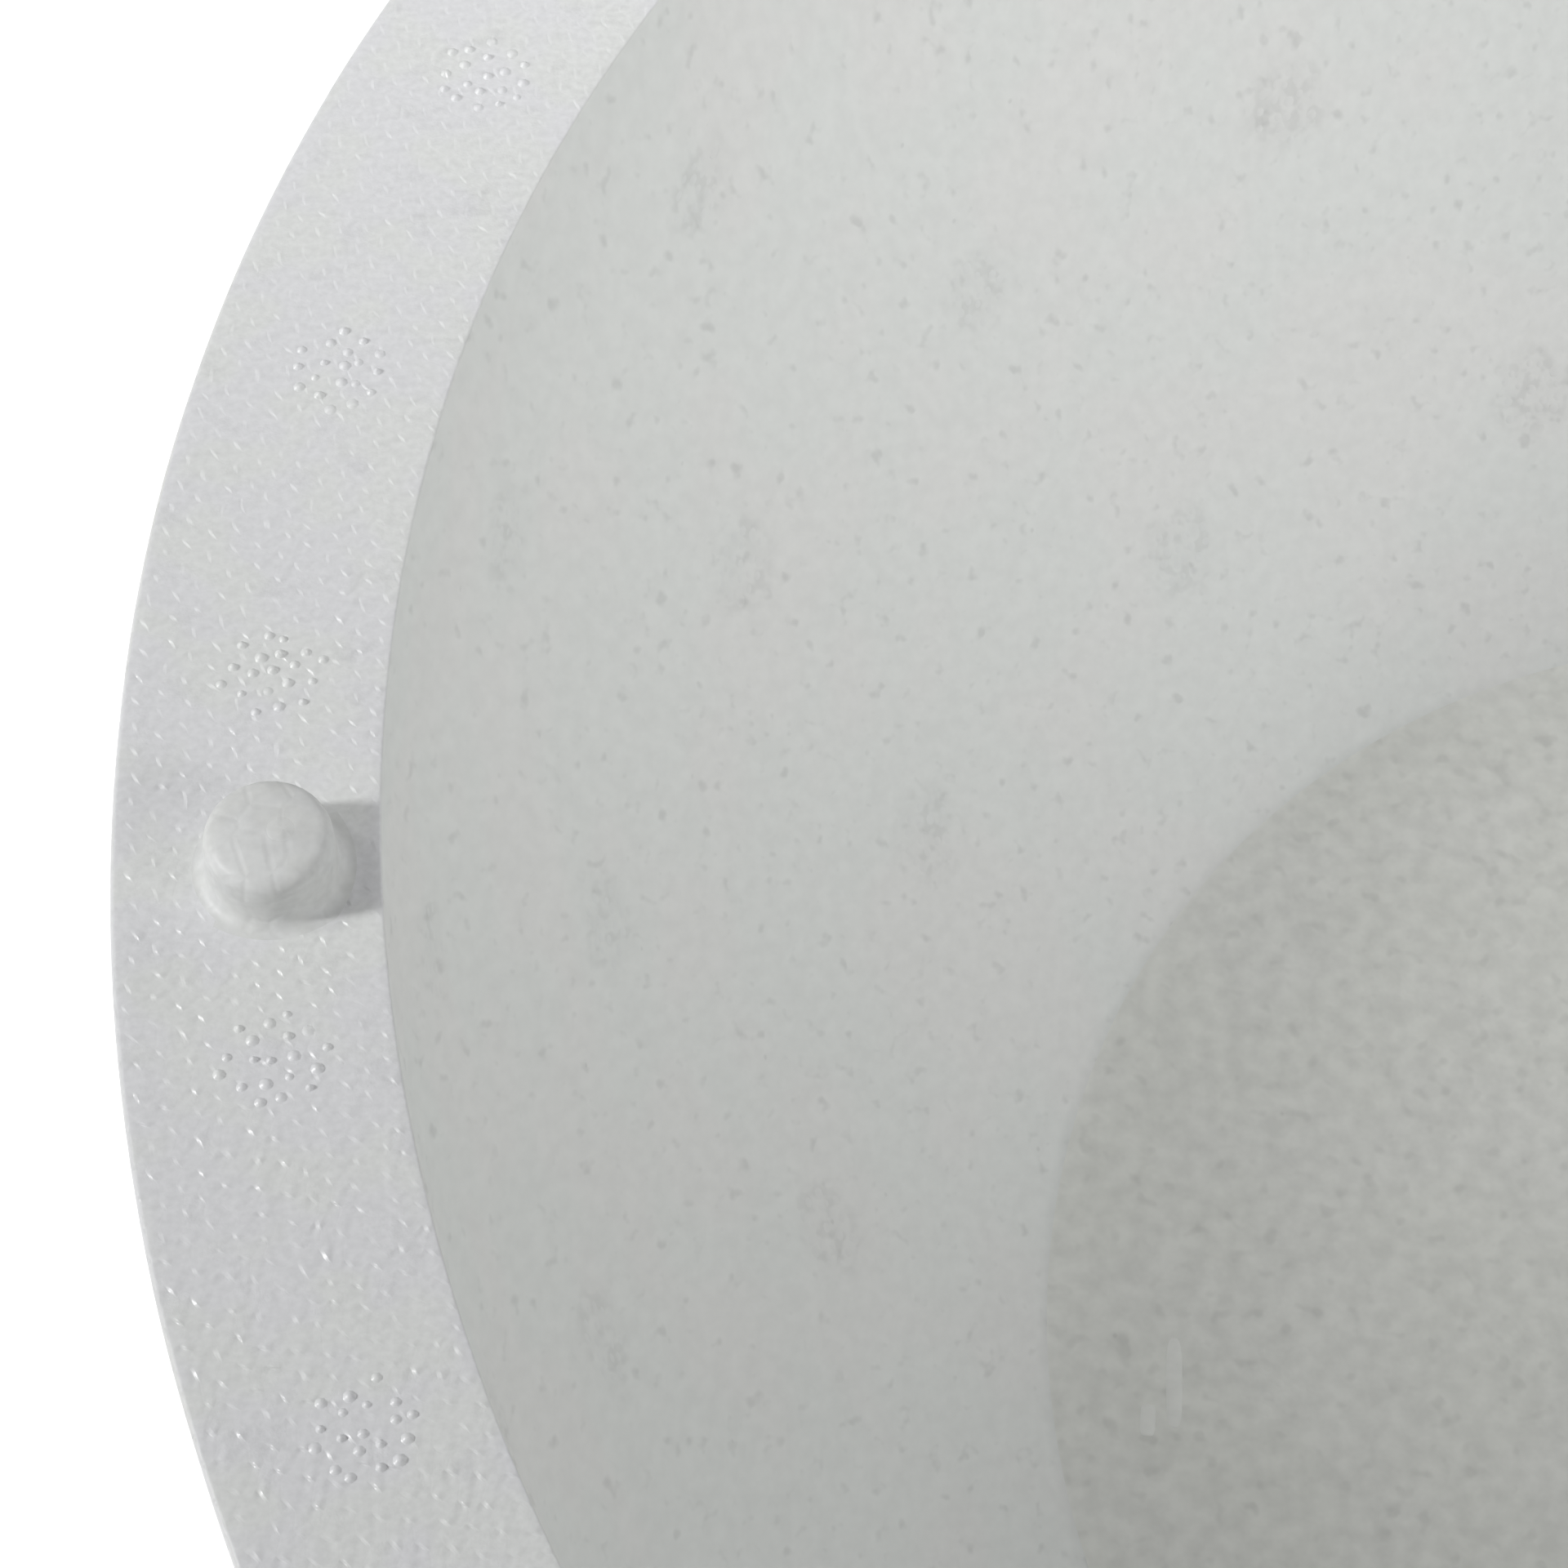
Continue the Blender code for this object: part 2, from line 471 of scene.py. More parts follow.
        count, lines = grid.shape[:2]
        number = np.arange(count * lines).reshape(count, lines)
        after = np.roll(number, -1, axis=0)
        quads = np.stack([number[:, :-1], number[:, 1:], after[:, 1:], after[:, :-1]], axis=-1).reshape(-1, 4)
        floor_pole, crown_pole = count * lines, count * lines + 1
        floor_fan = np.stack([number[:, 0], after[:, 0], np.full(count, floor_pole)], axis=-1)
        crown_fan = np.stack([after[:, -1], number[:, -1], np.full(count, crown_pole)], axis=-1)
        poles = np.array([[0.0, 0.0, grid[:, 0, 2].mean()], [0.0, 0.0, grid[:, -1, 2].mean()]])
        points = np.concatenate([grid.reshape(-1, 3), poles])
        faces = quads.tolist() + floor_fan.tolist() + crown_fan.tolist()

        skin = mesh_object("foam_skin", points, faces, *(finishes[zone] for zone in Zone))
        slots = np.concatenate([
            zones[:, 1:].ravel(), np.full(count, Zone.FLOOR.value), np.full(count, Zone.DOME.value),
        ])
        skin.data.polygons.foreach_set("material_index", slots.astype(np.int32))
        dress_as_moulding(skin)
        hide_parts(NODE)
        return skin


# Vent marks


@dataclass(frozen=True)
class Rosette:
    """One vent mark: nubs on a hexagonal grid, two rings of them round a middle one, in metres."""

    rings: int = 2
    pitch: float = 0.00215
    nub_radius: float = 0.00042
    nub_height: float = 0.00036
    nub_sink: float = 0.0001
    nub_sides: int = 8
    wander: float = 0.00028
    radius_spread: tuple[float, float] = (0.75, 1.25)
    height_spread: tuple[float, float] = (0.55, 1.2)

    def offsets(self, vents: int, chance: np.random.Generator) -> np.ndarray:
        """Places of the nubs of each vent in its own plane.

        A nub's place is its column plus half its row along one way and its row times the root of 3/4 along
        the other, in pitches. Each vent's grid has a random turn, and each nub wanders a little.

        Args:
            vents: Number of vents.
            chance: Source of the random turns and wandering.

        Returns:
            An array of vents by nubs by two coordinates.
        """
        column, row = np.meshgrid(*[np.arange(-self.rings, self.rings + 1)] * 2, indexing="ij")
        inside = np.abs(column + row) <= self.rings
        column, row = column[inside], row[inside]
        grid = self.pitch * (column + row / 2.0 + 1j * math.sqrt(0.75) * row)
        places = grid * np.exp(1j * chance.uniform(0.0, math.pi / 3.0, (vents, 1)))
        flat = np.stack([places.real, places.imag], axis=-1)
        return flat + chance.normal(0.0, self.wander, flat.shape)

    def nub(self) -> tuple[np.ndarray, list[list[int]]]:
        """A small closed bell of four rings and two poles, for a radius and height of 1.

        Returns:
            Points whose height is under 0 where they are sunk, and the faces.
        """
        angle = np.arange(self.nub_sides) * 2.0 * math.pi / self.nub_sides
        ring = np.stack([np.cos(angle), np.sin(angle)], axis=-1)
        spread = np.array([1.7, 1.2, 0.84, 0.45])
        rise = np.array([-1.0, 0.02, 0.5, 0.86])
        rings = np.concatenate([
            spread[:, None, None] * ring,
            np.broadcast_to(rise[:, None, None], (len(rise), self.nub_sides, 1)),
        ], axis=-1).reshape(-1, 3)
        points = np.concatenate([rings, [[0.0, 0.0, 1.0], [0.0, 0.0, -1.0]]])
        top, bottom = len(rings), len(rings) + 1
        here = np.arange(self.nub_sides)
        there = np.roll(here, -1)
        faces = []
        for level in range(len(rise) - 1):
            base = level * self.nub_sides
            above = base + self.nub_sides
            faces += np.stack([here + base, there + base, there + above, here + above], axis=-1).tolist()
        last = (len(rise) - 1) * self.nub_sides
        faces += np.stack([here + last, there + last, np.full_like(here, top)], axis=-1).tolist()
        faces += np.stack([there, here, np.full_like(here, bottom)], axis=-1).tolist()
        return points, faces


@dataclass(frozen=True)
class VentRow:
    """Vents that stand evenly round the axis at one radius and height.

    Attributes:
        radius: Distance from the axis.
        height: Height over the rim.
        tilt: Angle of the surface's outward normal over the level plane, away from the axis.
        count: Number of vents.
        start: Angle of the first from +X, in degrees.
        wander: How far each strays along the row, in degrees.
        seed: Seed of the straying.
    """

    radius: float
    height: float
    tilt: float
    count: int
    start: float
    wander: float = 0.0
    seed: int = 0

    def angles(self) -> np.ndarray:
        """Even angles from the start, each with its own random share of the wander, in radians."""
        strays = np.random.default_rng(self.seed).uniform(-self.wander, self.wander, self.count)
        return np.radians(self.start + np.arange(self.count) * 360.0 / self.count + strays)


@dataclass
class VentMarks:
    """The nubs of a group of vent rows, as one mesh of small closed knobs sunk into the skin.

    Attributes:
        name: Name of the mesh.
        rows: Rows of vents.
        zone: Zone whose finish the nubs have.
        sizes: Sizes of the half ball.
        rosette: Form of each vent.
        seed: Seed of the nubs' differences.
        bend: One over the surface's radius, under 0 where the surface bulges outwards.
        unevenness: The skin's unevenness, which the nubs follow.
    """

    name: str
    rows: list[VentRow]
    zone: Zone
    sizes: BallSizes
    rosette: Rosette
    seed: int
    bend: float = 0.0
    unevenness: Unevenness = Unevenness()

    def frames(self) -> tuple[np.ndarray, np.ndarray]:
        """Middles of the vents and their axes: sideways, along the slope and outwards."""
        middles, axes = [], []
        for row in self.rows:
            angle = row.angles()
            cos, sin, level = np.cos(angle), np.sin(angle), np.zeros(row.count)
            middles.append(np.stack([row.radius * cos, row.radius * sin, level + row.height], axis=-1))
            ahead, up = math.cos(row.tilt), math.sin(row.tilt)
            out = np.stack([ahead * cos, ahead * sin, level + up], axis=-1)
            side = np.stack([-sin, cos, level], axis=-1)
            axes.append(np.stack([side, np.cross(out, side), out], axis=1))
        return np.concatenate(middles), np.concatenate(axes)

    def build(self, finishes: dict[Zone, bpy.types.Material]) -> bpy.types.Object:
        """Sets one knob at each nub's place.

        A point is the vent's middle, plus its two offsets along the vent's sides, plus its rise outwards.
        Each nub's radius and height are its own random share of the rosette's. It stands half the bend times
        its offset's square over the vent's plane, less the skin's unevenness there.

        Args:
            finishes: The finish of each zone.

        Returns:
            The nubs, as one object.
        """
        chance = np.random.default_rng(self.seed)
        middles, axes = self.frames()
        offsets = self.rosette.offsets(len(middles), chance)
        spots = middles[:, None, :] + np.einsum("vnk,vkc->vnc", offsets, axes[:, :2])
        lift = self.bend / 2.0 * (offsets ** 2).sum(axis=-1) - self.unevenness.draw(spots)
        middles = middles + np.array([0.0, 0.0, self.sizes.rim_height])
        shape, shape_faces = self.rosette.nub()
        each = offsets.shape[:2] + (1,)
        radius = self.rosette.nub_radius * chance.uniform(*self.rosette.radius_spread, each)
        height = self.rosette.nub_height * chance.uniform(*self.rosette.height_spread, each)
        flat = offsets[:, :, None, :] + shape[:, :2] * radius[..., None]
        rise = np.where(shape[:, 2] < 0, self.rosette.nub_sink * shape[:, 2], shape[:, 2] * height)
        local = np.concatenate([flat, (rise + lift[..., None])[..., None]], axis=-1)
        points = middles[:, None, None, :] + np.einsum("vnpk,vkc->vnpc", local, axes)
        nubs = points.shape[0] * points.shape[1]
        starts = np.arange(nubs) * len(shape)
        faces = [[start + corner for corner in face] for start in starts.tolist() for face in shape_faces]
        marks = mesh_object(self.name, points, faces, finishes[self.zone])
        dress_as_moulding(marks)
        return marks


def round_row(radius: float, faces_in: bool, latitude: float, count: int, start: float) -> VentRow:
    """A row on the hollow's round wall or on the dome.

    Args:
        radius: Radius of the surface.
        faces_in: Whether it faces the axis, as the hollow's wall does.
        latitude: Angle under the rim, in degrees.
        count: Number of vents.
        start: Angle of the first from +X, in degrees.

    Returns:
        The row.
    """
    angle = math.radians(latitude)
    tilt = math.pi - angle if faces_in else -angle
    return VentRow(radius * math.cos(angle), -radius * math.sin(angle), tilt, count, start)


def vent_groups(sizes: BallSizes) -> list[VentMarks]:
    """The vent marks of the rim, the hollow, the floor and the dome, and the pegs' beads.

    Args:
        sizes: Sizes of the half ball.

    Returns:
        One group for each stretch of the surface.
    """
    rosette = Rosette()
    faint = Rosette(nub_radius=0.00055, nub_height=0.00006, nub_sink=0.00004, wander=0.0003)
    bead = Rosette(rings=0, nub_radius=0.00105, nub_height=0.00006, nub_sink=0.0001, nub_sides=20, wander=0.0)
    up = math.pi / 2
    rim_circle = sizes.ball_radius - sizes.wall / 2 - RIM_VENT_SHIFT
    rim = [VentRow(rim_circle, 0.0, up, RIM_VENTS, 180 / RIM_VENTS, RIM_VENT_STRAY, RIM_VENT_SEED)]
    dowel = DowelSizes()
    bead_height = dowel.height + dowel.crown_rise * PEG_BEAD_CROWN_SHARE - PEG_BEAD_DROP
    pegs = [VentRow(sizes.ball_radius - PEG_BEAD_INSET, bead_height, up + PEG_BEAD_LEAN, DOWELS // 2, 0.0)]
    hollow = [round_row(sizes.hollow_radius, True, *row) for row in HOLLOW_ROWS]
    floor = [VentRow(radius, -sizes.floor_depth, up, *places) for radius, *places in FLOOR_ROWS]
    dome = [round_row(sizes.ball_radius, False, *row) for row in DOME_ROWS]
    return [
        VentMarks("rim_vent_nubs", rim, Zone.RIM, sizes, rosette, 11),
        VentMarks("hollow_vent_nubs", hollow, Zone.VENT, sizes, faint, 12, 1.0 / sizes.hollow_radius),
        VentMarks("floor_vent_nubs", floor, Zone.FLOOR, sizes, faint, 13),
        VentMarks("dome_vent_nubs", dome, Zone.DOME, sizes, rosette, 14, -1.0 / sizes.ball_radius),
        VentMarks("peg_beads", pegs, Zone.PEG, sizes, bead, 15, unevenness=Unevenness(depth=0.0)),
    ]


# Marks of the mould on the floor


@dataclass(frozen=True)
class MouldMark:
    """A low straight bar that the mould leaves on the hollow's floor, in metres.

    Attributes:
        start: Place of one end on the floor.
        end: Place of the other end.
        width: Width of the bar.
        height: Height of the bar over the floor.
        bluntness: Power that shapes the ends: 2 makes them round, and more makes them blunter.
    """

    start: tuple[float, float]
    end: tuple[float, float]
    width: float
    height: float
    bluntness: int = 4

    def surface(self, level: float, rings: int = 12, sides: int = 16) -> tuple[np.ndarray, np.ndarray]:
        """A closed bar with blunt ends, half of it sunk in the floor.

        A ring's place along the bar is the cosine of its angle. Its share of the width and the height is the
        root of 1 less that cosine's power, both of the bluntness. Round the ring the height is the sine of
        the turn times the sine's own size, which makes a lens with thin edges.

        Args:
            level: Height of the floor.
            rings: Number of rings between the two tips.
            sides: Points of each ring.

        Returns:
            The points, with the two tips last, and the faces.
        """
        ends = np.array([self.start, self.end])
        middle, half = ends.mean(axis=0), (ends[1] - ends[0]) / 2.0
        ahead = half / np.linalg.norm(half)
        aside = np.array([-ahead[1], ahead[0]])
        station = np.cos(np.pi * (np.arange(rings) + 0.5) / rings)[:, None]
        share = (1.0 - station ** self.bluntness) ** (1.0 / self.bluntness)
        turn = 2.0 * np.pi * np.arange(sides) / sides
        offset = share * np.cos(turn) * self.width / 2.0
        flat = middle + station[..., None] * half + offset[..., None] * aside
        rise = share * np.sin(turn) * np.abs(np.sin(turn)) * self.height + level
        body = np.concatenate([flat, rise[..., None]], axis=-1).reshape(-1, 3)
        tips = np.array([[*(middle + half), level], [*(middle - half), level]])
        ring = np.arange(rings)[:, None] * sides
        here = np.arange(sides)[None, :]
        there = np.roll(here, -1)
        quads = np.stack([ring[:-1] + here, ring[1:] + here, ring[1:] + there, ring[:-1] + there], axis=-1)
        first, last = len(body), len(body) + 1
        near = np.stack([here[0], there[0], np.full(sides, first)], axis=-1)
        far = np.stack([ring[-1] + there[0], ring[-1] + here[0], np.full(sides, last)], axis=-1)
        return np.concatenate([body, tips]), quads.reshape(-1, 4).tolist() + near.tolist() + far.tolist()


@dataclass(frozen=True)
class FloorMarks:
    """The bars on the floor, as one mesh."""

    sizes: BallSizes
    unevenness: Unevenness = Unevenness()
    marks: tuple[MouldMark, ...] = (
        MouldMark((-0.0873, 0.0073), (-0.0887, -0.0042), 0.0020, 0.00012),
        MouldMark((-0.0915, -0.0011), (-0.0921, -0.0051), 0.0019, 0.00012),
    )

    def build(self, finishes: dict[Zone, bpy.types.Material]) -> bpy.types.Object:
        """Puts every bar's surface on the floor.

        Args:
            finishes: The finish of each zone.

        Returns:
            The bars, as one object.
        """
        level = self.sizes.rim_height - self.sizes.floor_depth
        points, faces = [], []
        for mark in self.marks:
            start = sum(len(part) for part in points)
            middle = [*np.mean([mark.start, mark.end], axis=0), -self.sizes.floor_depth]
            part, part_faces = mark.surface(level - float(self.unevenness.draw(np.array(middle))))
            points.append(part)
            faces += [[start + corner for corner in face] for face in part_faces]
        bars = mesh_object("floor_mould_marks", np.concatenate(points), faces, finishes[Zone.MARK])
        dress_as_moulding(bars)
        return bars


# Shader helpers


class Graph:
    """A material's node tree, with one method that adds any node."""

    def __init__(self, tree: bpy.types.NodeTree) -> None:
        """Keeps the tree.

        Args:
            tree: Node tree to which nodes are added.
        """
        self.tree = tree

    def node(
        self, kind: str, settings: dict[str, Any] | None = None, sockets: dict[Any, Any] | None = None
    ) -> bpy.types.Node:
        """Adds a node, sets it up and then fills or links its sockets.

        Args:
            kind: Blender's name of the node's type.
            settings: Properties of the node, set first.
            sockets: Values, Term objects or sockets for the inputs, by name or number.

        Returns:
            The new node.
        """
        made = self.tree.nodes.new(kind)
        for name, value in (settings or {}).items():
            setattr(made, name, value)
        for name, value in (sockets or {}).items():
            source = value.socket if isinstance(value, Term) else value
            if isinstance(source, bpy.types.NodeSocket):
                self.tree.links.new(source, made.inputs[name])
            else:
                made.inputs[name].default_value = source
        return made

    def term(self, node: bpy.types.Node, output: Any = 0) -> Term:
        """Wraps one output of a node."""
        return Term(self, node.outputs[output])

    def maths(self, operation: str, *values: Any) -> Term:
        """Adds a Math node of that operation on the given values."""
        return self.term(self.node("ShaderNodeMath", {"operation": operation}, dict(enumerate(values))))

    def parts(self, vector: bpy.types.NodeSocket) -> list[Term]:
        """The three parts of a place or a colour."""
        split = self.node("ShaderNodeSeparateXYZ", sockets={0: vector})
        return [self.term(split, output) for output in range(3)]

    def noise_texture(self, place: bpy.types.NodeSocket, size: float, detail: float = 1.0) -> bpy.types.Node:
        """A node of smooth noise, with features of that size in metres."""
        sockets = {"Vector": place, "Scale": 1.0 / size, "Detail": detail}
        return self.node("ShaderNodeTexNoise", sockets=sockets)

    def noise(self, place: bpy.types.NodeSocket, size: float, detail: float = 1.0) -> Term:
        """Smooth noise from about 0.25 to 0.75, with features of that size in metres."""
        return self.term(self.noise_texture(place, size, detail), "Fac")

    def seen(self) -> Term:
        """1 for rays straight from the camera, reflected or through clear things, and 0 for all others."""
        path = self.node("ShaderNodeLightPath")
        kinds = ("Camera", "Glossy", "Transmission")
        camera, glossy, clear = [self.term(path, f"Is {kind} Ray") for kind in kinds]
        return (camera + glossy + clear).least(1.0)

    def mixed(self, share: Any, first: Any, second: Any, blend: str = "MIX") -> bpy.types.NodeSocket:
        """Blends two colours.

        Args:
            share: Share of the second colour.
            first: First colour, or its socket.
            second: Second colour, or its socket.
            blend: Kind of blend.

        Returns:
            The socket of the blended colour.
        """
        sockets = {0: share, 6: first, 7: second}
        return self.node("ShaderNodeMix", {"data_type": "RGBA", "blend_type": blend}, sockets).outputs[2]


class Term:
    """A number in a shader. Python's operators on it add Math nodes."""

    def __init__(self, graph: Graph, socket: bpy.types.NodeSocket) -> None:
        """Wraps a socket.

        Args:
            graph: Graph that the socket is in.
            socket: Output socket that holds the number.
        """
        self.graph = graph
        self.socket = socket

    def __add__(self, other: Any) -> Term:
        """The sum."""
        return self.graph.maths("ADD", self, other)

    def __sub__(self, other: Any) -> Term:
        """The difference."""
        return self.graph.maths("SUBTRACT", self, other)

    def __rsub__(self, other: Any) -> Term:
        """The number less this."""
        return self.graph.maths("SUBTRACT", other, self)

    def __mul__(self, other: Any) -> Term:
        """The product."""
        return self.graph.maths("MULTIPLY", self, other)

    def __truediv__(self, other: Any) -> Term:
        """The quotient."""
        return self.graph.maths("DIVIDE", self, other)

    def __abs__(self) -> Term:
        """The size without its sign."""
        return self.graph.maths("ABSOLUTE", self)

    def least(self, other: Any) -> Term:
        """The smaller of two."""
        return self.graph.maths("MINIMUM", self, other)

    def most(self, other: Any) -> Term:
        """The larger of two."""
        return self.graph.maths("MAXIMUM", self, other)

    def fraction(self) -> Term:
        """What is left over the whole number under it."""
        return self.graph.maths("FRACT", self)

    def ramp(self, low: float, high: float, rise: str = "LINEAR") -> Term:
        """0 under low and 1 over high, with a straight rise between them, or one of another kind."""
        sockets = {"Value": self, "From Min": low, "From Max": high}
        return self.graph.term(self.graph.node("ShaderNodeMapRange", {"interpolation_type": rise}, sockets))

    def eased(self, low: float, high: float) -> Term:
        """0 under low and 1 over high, with a smooth rise between them."""
        return self.ramp(low, high, "SMOOTHSTEP")


# The foam's finishes


@dataclass(frozen=True)
class FoamFinish:
    """White moulded bead foam, mottled and pitted. Each zone's finish adds its own relief to this.

    Lengths are in metres, and colours are plain linear ones. The surface drifts between the two colours in
    broad patches.
    """

    name: str
    colour: tuple[float, float, float]
    roughness: float
    other_colour: tuple[float, float, float] = (0.805, 0.81, 0.80)
    patch_size: float = 0.02
    patch_span: tuple[float, float] = (0.42, 0.62)
    gloss: float = 0.4
    mottle_size: float = 0.0012
    mottle_detail: float = 2.0
    mottle_span: tuple[float, float] = (0.3, 0.7)
    mottle_shade: float = 0.05
    pit_size: float = 0.003
    pit_start: float = 0.6
    pit_fade: float = 0.15
    pit_detail: float = 1.5
    pit_shade: float = 0.05

    def pits(self, graph: Graph, place: bpy.types.NodeSocket) -> Term:
        """Soft pits where smooth noise peaks: 1 in a pit's middle and 0 away from all."""
        peaks = graph.noise(place, self.pit_size, self.pit_detail)
        return peaks.eased(self.pit_start, self.pit_start + self.pit_fade)

    def relief(self, graph: Graph, place: bpy.types.NodeSocket) -> Term:
        """Height of the surface's relief, in metres."""
        raise NotImplementedError

    def shade(self, graph: Graph, place: bpy.types.NodeSocket) -> Term:
        """Share of its light that the surface gives back, less where it is mottled, and less in the pits,
        partly their own tone and partly painted shade.
        """
        mottle = graph.noise(place, self.mottle_size, self.mottle_detail).ramp(*self.mottle_span)
        # Darkening in the pits is partly their own tone and partly painted shade in them
        return 1.0 - mottle * self.mottle_shade - self.pits(graph, place) * self.pit_shade

    def material(self) -> bpy.types.Material:
        """Builds the finish: two mixed colours times the shade, a bump from the relief and fixed roughness.

        Returns:
            The material.
        """
        made = bpy.data.materials.new(self.name)
        made.use_nodes = True
        graph = Graph(made.node_tree)
        shader = made.node_tree.nodes["Principled BSDF"]
        place = graph.node("ShaderNodeTexCoord").outputs["Object"]
        patches = graph.noise(place, self.patch_size).eased(*self.patch_span)
        colour = graph.mixed(patches, (*self.colour, 1.0), (*self.other_colour, 1.0))
        shade = self.shade(graph, place)
        grey = graph.node("ShaderNodeCombineColor", sockets={0: shade, 1: shade, 2: shade})
        tinted = graph.mixed(1.0, colour, grey.outputs[0], blend="MULTIPLY")
        bump = graph.node("ShaderNodeBump", sockets={"Height": self.relief(graph, place), "Distance": 1.0})
        graph.tree.links.new(tinted, shader.inputs["Base Color"])
        graph.tree.links.new(bump.outputs[0], shader.inputs["Normal"])
        shader.inputs["Roughness"].default_value = self.roughness
        shader.inputs["Specular IOR Level"].default_value = self.gloss
        return made


@dataclass(frozen=True)
class RimFinish(FoamFinish):
    """The rim: close rows of flat beads like scales, each a step higher than its neighbour on one side."""

    name: str = "rim_foam"
    # The rim's bluish colour is painted light: the cool colour of the key lamp that lights the rim
    colour: tuple[float, float, float] = (0.838, 0.843, 0.858)
    other_colour: tuple[float, float, float] = (0.84, 0.853, 0.84)
    patch_size: float = 0.007
    roughness: float = 0.33
    gloss: float = 0.5
    bead_pitch: float = 0.0025
    bead_circle: float = 0.186
    groove_depth: float = 0.000005
    step_height: float = 0.0002
    step_turn: float = math.radians(55)
    step_reach: float = 0.28
    edge_start: float = 0.435
    least_strength: float = 0.42
    strength_gain: float = 0.7
    strength_span: tuple[float, float] = (0.36, 0.6)
    crinkle_size: float = 0.0003
    crinkle_height: float = 0.00003
    crinkle_patch: float = 0.003
    crinkle_span: tuple[float, float] = (0.46, 0.62)
    wander: float = 0.5
    wander_cell: float = 0.0045
    mottle_size: float = 0.0007
    mottle_shade: float = 0.09

    def lattice(self, u: Term, v: Term, shift: float) -> tuple[Term, Term, Term]:
        """One of the two crossed lattices of bead middles, with rows the root of 3 apart.

        Args:
            u: Place along the rim, in beads.
            v: Place across the rim, in beads.
            shift: 0 or a half, the lattice's shift along both ways.

        Returns:
            The two distances from the nearest bead's middle, and the hexagon's measure, a half at its edge.
        """
        row = math.sqrt(3)
        a = (u + 0.5 + shift).fraction() - 0.5
        b = ((v / row + 0.5 + shift).fraction() - 0.5) * row
        size_a, size_b = abs(a), abs(b)
        return a, b, size_a.most(size_a * 0.5 + size_b * (row / 2))

    def relief(self, graph: Graph, place: bpy.types.NodeSocket) -> Term:
        """Height of the scale-like beads.

        The rim's turn and radius are measured in beads, and noise makes them wander. The nearer middle of the
        two lattices wins. A bead rises evenly towards one side, where it ends in a step, and the rise fades
        away from the line through its middle. A shallow groove runs round it, steps differ in strength from
        place to place, and patches of fine crinkles lie over all.
        """
        x, y, _ = graph.parts(place)
        drift = graph.noise_texture(place, self.wander_cell).outputs["Color"]
        drift_u, drift_v, drift_strength = graph.parts(drift)
        beads_round = round(2.0 * math.pi * self.bead_circle / self.bead_pitch)
        beads_per_radian = beads_round / (2.0 * math.pi)
        u = graph.maths("ARCTAN2", y, x) * beads_per_radian + (drift_u - 0.5) * (2 * self.wander)
        v = graph.maths("SQRT", x * x + y * y) * (beads_per_radian / self.bead_circle)
        v = v + (drift_v - 0.5) * (2 * self.wander)
        a, b, edge = self.lattice(u, v, 0.0)
        other_a, other_b, other_edge = self.lattice(u, v, 0.5)
        nearer = graph.maths("LESS_THAN", other_edge, edge)
        along, across = a + (other_a - a) * nearer, b + (other_b - b) * nearer
        uphill = along * math.cos(self.step_turn) + across * math.sin(self.step_turn)
        sideways = along * -math.sin(self.step_turn) + across * math.cos(self.step_turn)
        groove = edge.least(other_edge).ramp(self.edge_start, 0.5)
        rise = uphill * (1.0 - groove) * (1.0 - abs(sideways).eased(0.0, self.step_reach))
        strength = drift_strength.ramp(*self.strength_span) * self.strength_gain + self.least_strength
        patches = graph.noise(place, self.crinkle_patch).eased(*self.crinkle_span)
        crinkles = graph.noise(place, self.crinkle_size) * patches
        beads = rise * strength * self.step_height - groove * self.groove_depth
        return beads + crinkles * self.crinkle_height


@dataclass(frozen=True)
class BeadFinish(FoamFinish):
    """Round-cornered beads of mixed size, as on the dome, the pegs and the sockets."""

    name: str = "dome_foam"
    colour: tuple[float, float, float] = (0.81, 0.815, 0.825)
    roughness: float = 0.42
    bead_pitch: float = 0.0031
    groove_depth: float = 0.00007
    groove_width: float = 0.14
    randomness: float = 0.8

    def relief(self, graph: Graph, place: bpy.types.NodeSocket) -> Term:
        """Height of the beads: level inside each and easing down to the seam with its neighbours."""
        sockets = {"Vector": place, "Scale": 1.0 / self.bead_pitch, "Randomness": self.randomness}
        cells = graph.node("ShaderNodeTexVoronoi", {"feature": "DISTANCE_TO_EDGE"}, sockets)
        return graph.term(cells, "Distance").eased(0.0, self.groove_width) * self.groove_depth


